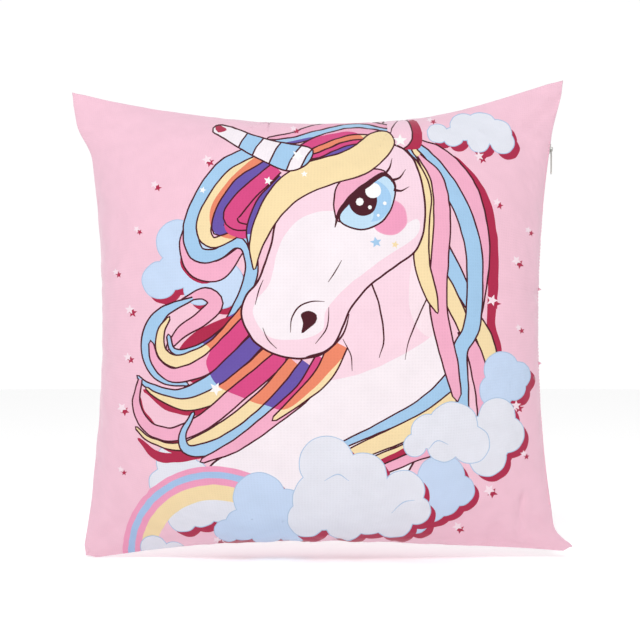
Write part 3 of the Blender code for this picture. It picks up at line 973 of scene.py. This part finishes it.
# Zip in the right side seam
zipper = {
    "half": math.radians(8.5085),  # half of the coils' length, as an angle about the seam's arc
    "tapeHalf": math.radians(9.15),
    "tapeThick": 0.0005,
    "tapeDepth": 0.0021,  # seam line to the tape's middle
    "tapeSteps": 120,
    "tapeInner": 0.0005,  # half of the gap between the tapes
    "tapeWidest": 0.98,  # share of the opening that each tape fills before it turns under the panel
    "tapeRows": ((0.0036, 0.0019), (0.0058, 0.0024), (0.0080, 0.0030)),  # from the fold, and how far under
    "pitch": 0.0015,
    "wire": 0.00024,
    "coilPoints": 8,  # on each turn
    "coilReach": (0.00028, 0.00235),  # each coil's nearest and furthest from the middle plane
    "coilDepth": (0.0003, 0.0016),
    "stitch": 0.0026,
    "stitchPitch": 0.0031,
    "stitchRow": 0.0032,  # folded edge to the row of stitching
    "thread": 0.00042,
}


def zipPlace(angle, inward, y):
    # a point at an angle along the zip, so far in from the seam line
    reach = arcRadius + inward
    return Vector((arcX - reach * math.cos(angle), y, middleZ + reach * math.sin(angle)))


def panelShare(angle):
    # how far up the panel, from -1 to 1, an angle along the zip is
    height = arcRadius * np.sin(angle) / halfHeight
    q = height
    for _ in range(30):
        q = q + height - (filledShape(np.ones_like(q), q)[2] - middleZ) / halfHeight
    return q


def byEdge(side, sign, angles, distance, depth):
    # points on the panel beside the zip, so far from the folded edge and so far under the surface
    q = panelShare(angles)
    p = np.full_like(q, 1 - distance / (cushion["flat"] / 2))
    here = onPanel(seamed[side], np.stack([p, q], axis=1))
    further = onPanel(seamed[side], np.stack([p - 0.004, q], axis=1))
    along = onPanel(seamed[side], np.stack([p, q + 0.004], axis=1))
    normal = unit(np.cross(further - here, along - here))
    normal = np.where((normal[:, 1] * sign < 0)[:, None], -normal, normal)
    return here - normal * depth, normal


def wovenTape(name, side, sign, material, *nodes):
    angles = np.linspace(-zipper["tapeHalf"], zipper["tapeHalf"], zipper["tapeSteps"] + 1)
    near = zipper["tapeInner"]
    inner = np.array([zipPlace(angle, zipper["tapeDepth"], sign * near) for angle in angles])
    fromMiddle = np.abs(arcRadius * np.sin(angles))
    opened = ease(cushion["zipReach"] + 0.010 - fromMiddle, 0, cushion["zipClosing"])
    far = near + (cushion["zipSlot"] * zipper["tapeWidest"] - near) * opened
    edge = np.array([zipPlace(angle, zipper["tapeDepth"], sign * y) for angle, y in zip(angles, far)])
    under = [byEdge(side, sign, angles, distance, depth)[0] for distance, depth in zipper["tapeRows"]]
    lines = np.stack([inner, (inner + edge) / 2, edge, *under])
    bm = bmesh.new()
    rows = [[bm.verts.new(point) for point in line] for line in lines.tolist()]
    flatMap = bm.loops.layers.uv.new("flat")
    for j, (low, high) in enumerate(zip(rows, rows[1:])):
        for i in range(len(low) - 1):
            face = bm.faces.new((low[i], low[i + 1], high[i + 1], high[i])[:: -sign])
            for loop, (a, b) in zip(face.loops, ((i, j), (i + 1, j), (i + 1, j + 1), (i, j + 1))[:: -sign]):
                loop[flatMap].uv = (a * 2.79 / 1000, b * 2.0 / 1000)
    mesh = bpy.data.meshes.new(name)
    bm.to_mesh(mesh)
    bm.free()
    mesh.shade_smooth()
    piece = newPiece(name, mesh, "cushion", "zip_tape", material, *nodes)
    shell(piece, zipper["tapeThick"])


def coil(name, sign, material, *nodes):
    # one continuous filament wound along the edge of the tape
    near, far = zipper["coilReach"]
    shallow, deep = zipper["coilDepth"]
    length = 2 * zipper["half"] * arcRadius
    turns = int(length / zipper["pitch"])
    wind = np.linspace(0, turns * 2 * math.pi, turns * zipper["coilPoints"] + 1)
    wind = wind + (0 if sign < 0 else math.pi)  # the two coils mesh
    angles = np.linspace(-zipper["half"], zipper["half"], len(wind))
    swing, lift = (far - near) / 2 - zipper["wire"], (deep - shallow) / 2 - zipper["wire"]
    curve = bpy.data.curves.new(name, "CURVE")
    curve.dimensions = "3D"
    curve.bevel_depth = zipper["wire"]
    curve.bevel_resolution = 0
    curve.use_fill_caps = True
    line = curve.splines.new("POLY")
    line.points.add(len(wind) - 1)
    for point, angle, turn in zip(line.points, angles, wind):
        inward = (shallow + deep) / 2 + lift * math.sin(turn)
        y = (near + far) / 2 + swing * math.cos(turn)
        point.co = (*zipPlace(angle, inward, sign * y), 1)
    wound = bpy.data.objects.new("wound", curve)
    bpy.context.scene.collection.objects.link(wound)
    mesh = bpy.data.meshes.new_from_object(wound.evaluated_get(bpy.context.evaluated_depsgraph_get()))
    bpy.data.objects.remove(wound)
    mesh.name = name
    mesh.shade_smooth()
    newPiece(name, mesh, "cushion", "zip_coil", material, *nodes)


def stitching(name, side, sign, material, *nodes):
    count = int(2 * zipper["half"] * arcRadius / zipper["stitchPitch"])
    angles = np.linspace(-zipper["half"], zipper["half"], count)
    places, normal = byEdge(side, sign, angles, zipper["stitchRow"], -zipper["thread"] * 0.25)
    bm = bmesh.new()
    for place, out, angle in zip(places, normal, angles):
        along = Vector((math.sin(angle), 0, math.cos(angle)))
        across = Vector(out).cross(along).normalized()
        turned = Matrix((across, Vector(out), along)).transposed().to_4x4()
        size = Matrix.Diagonal((zipper["thread"], zipper["thread"], zipper["stitch"] / 2, 1))
        placed = Matrix.Translation(Vector(place)) @ turned @ size
        bmesh.ops.create_uvsphere(bm, u_segments=6, v_segments=5, radius=1, matrix=placed)
    mesh = bpy.data.meshes.new(name)
    bm.to_mesh(mesh)
    bm.free()
    mesh.shade_smooth()
    newPiece(name, mesh, "cushion", "sewing_thread", material, *nodes)


def ribbed(name, colour, roughness, spacing, direction, depth):
    # a fine ribbed surface: ribs of twisted thread or of woven herringbone, with painted shade between the
    # ribs and painted light on them
    material, shader = newMaterial(name, colour, roughness)
    where = addNode(material, "ShaderNodeTexCoord").outputs["Object"]
    ribs = addNode(material, "ShaderNodeTexWave", {"Vector": where, "Scale": waveRepeat / spacing,
        "Distortion": 1.0, "Detail": 1.0}, wave_type="BANDS", bands_direction=direction)
    relief(material, shader, ribs.outputs["Fac"], colour, depth, 0.9, 1.03)
    return material


# Woven polyester zip tape: fine ribs across its length, dyed to match the cover
herringbone = ribbed("woven_zip_tape", "#EFB3C8", 0.8, 0.0009, "Z", 0.0001)
# Spun polyester thread: a slight twist
spunThread = ribbed("spun_polyester_thread", "#F3BBCF", 0.7, 0.0008, "DIAGONAL", 0.0001)
# Nylon monofilament: smooth and a little glossy
nylon, nylonShader = newMaterial("nylon_monofilament", "#F0BACB", 0.38)
glaze = addNode(nylon, "ShaderNodeTexNoise", {"Scale": 600.0, "Detail": 2.0,
    "Vector": addNode(nylon, "ShaderNodeTexCoord").outputs["Object"]})
link(nylon, addNode(nylon, "ShaderNodeMapRange", {"Value": glaze.outputs["Fac"], "To Min": 0.3,
    "To Max": 0.5}).outputs["Result"], nylonShader, "Roughness")
# Nickel-plated zinc, die cast: bright, with the soft unevenness of tumbled castings
plated, platedShader = newMaterial("nickel_plated_zinc", "#C9C8C4", 0.28, Metallic=1.0)
tumble = addNode(plated, "ShaderNodeTexNoise", {"Scale": 900.0, "Detail": 4.0,
    "Vector": addNode(plated, "ShaderNodeTexCoord").outputs["Object"]})
link(plated, addNode(plated, "ShaderNodeMapRange", {"Value": tumble.outputs["Fac"], "To Min": 0.2,
    "To Max": 0.42}).outputs["Result"], platedShader, "Roughness")
link(plated, addNode(plated, "ShaderNodeBump", {"Height": tumble.outputs["Fac"], "Strength": 0.15,
    "Distance": 0.00005}).outputs["Normal"], platedShader, "Normal")

for side, sign in (("front", -1), ("back", 1)):
    wovenTape(f"zip_tape_{side}_woven", side, sign, herringbone, f"zip_tape_{side}")
    coil(f"zip_coil_{side}_wound", sign, nylon, f"zip_coil_{side}")
    stitching(f"zip_stitches_{side}", side, sign, spunThread, f"zip_stitching_{side}")


def softened(name, node, body, edge):
    # a die-cast or stamped part: the CAD shape with its sharp edges rounded
    bm = bmesh.new()
    bm.from_mesh(frame["nodes"][node].data)
    bmesh.ops.remove_doubles(bm, verts=bm.verts, dist=1e-6)
    bmesh.ops.dissolve_limit(bm, angle_limit=math.radians(2), verts=bm.verts, edges=bm.edges)
    sharp = [e for e in bm.edges if e.is_manifold and e.calc_face_angle() > math.radians(30)]
    bmesh.ops.bevel(
        bm, geom=sharp, offset=edge, offset_type="OFFSET", segments=2, profile=0.5, affect="EDGES",
        clamp_overlap=True, material=-1,
    )
    mesh = bpy.data.meshes.new(name)
    bm.to_mesh(mesh)
    bm.free()
    newPiece(name, mesh, body, "zip_metal", plated, node)


softened("slider_casting", "zip_slider", "zip_slider", 0.00012)
softened("pull_tab", "zip_pull", "zip_pull", 0.00015)
for name, node in frame["nodes"].items():
    if "_stop" in name:
        node.data.materials.clear()
        node.data.materials.append(plated)

# Studio: a wide white floor in white surroundings, a soft key from the upper left and a low warm bounce
studio = {
    "camera": (0.0, -1.6, 0.2177),
    "lens": 98,
    "floor": 4.0,  # radius
    "floorGlow": 0.19,
    "surroundings": 0.77,
    "behind": 0.25,  # the surroundings are this much brighter behind the cushion, and darker before it
    "toRight": -0.04,
    "lights": (
        ("key", (-0.2, -1.4, 1.65), 0.7, 17.5, "#FFFFFF"),
        ("bounce", (0.1, -0.62, 0.02), 0.5, 0.6, "#FFC9A0"),
    ),
}
bm = bmesh.new()
below = Matrix.Translation((0, 0, -0.0006))
bmesh.ops.create_circle(bm, cap_ends=True, segments=96, radius=studio["floor"], matrix=below)
floorMesh = bpy.data.meshes.new("white_floor")
bm.to_mesh(floorMesh)
bm.free()
# Uncoated white paper: quite matt, with a barely rough face
paper, paperShader = newMaterial("matt_white_paper", "#FBFBFB", 0.95, Emission_Strength=studio["floorGlow"])
paperShader.inputs["Emission Color"].default_value = (1, 1, 1, 1)
grain = addNode(paper, "ShaderNodeTexNoise", {"Scale": 700.0,
    "Vector": addNode(paper, "ShaderNodeTexCoord").outputs["Object"]})
link(paper, addNode(paper, "ShaderNodeBump", {"Height": grain.outputs["Fac"], "Strength": 0.05,
    "Distance": 0.0001}).outputs["Normal"], paperShader, "Normal")
floorMesh.materials.append(paper)
floor = bpy.data.objects.new("white_floor", floorMesh)
bpy.context.scene.collection.objects.link(floor)

for name, place, size, watts, colour in studio["lights"]:
    light = bpy.data.objects.new(name, bpy.data.lights.new(name, "AREA"))
    light.data.energy = watts
    light.data.size = size
    light.data.color = linear(colour)
    light.location = place
    light.rotation_euler = (Vector((0, 0, middleZ)) - light.location).to_track_quat("-Z", "Y").to_euler()
    bpy.context.scene.collection.objects.link(light)
bpy.context.scene.view_settings.view_transform = "Standard"
world = bpy.context.scene.world or bpy.data.worlds.new("world")
bpy.context.scene.world = world
world.use_nodes = True
sky = world.node_tree.nodes["Background"]
sky.inputs["Color"].default_value = (1, 1, 1, 1)
around = addNode(world, "ShaderNodeTexCoord").outputs["Generated"]
direction = addNode(world, "ShaderNodeSeparateXYZ", {"Vector": around})
glow = studio["surroundings"]
for axis, slope in (("Y", studio["behind"]), ("X", studio["toRight"])):
    step = addNode(world, "ShaderNodeMath", operation="MULTIPLY_ADD")
    link(world, direction.outputs[axis], step, 0)
    step.inputs[1].default_value = slope
    if isinstance(glow, float):
        step.inputs[2].default_value = glow
    else:
        link(world, glow, step, 2)
    glow = step.outputs["Value"]
link(world, glow, sky, "Strength")

camera = bpy.data.objects.new("camera", bpy.data.cameras.new("camera"))
bpy.context.scene.collection.objects.link(camera)
camera.location = studio["camera"]
camera.rotation_euler = (math.radians(90), 0, 0)
camera.data.lens = studio["lens"]
bpy.context.scene.camera = camera
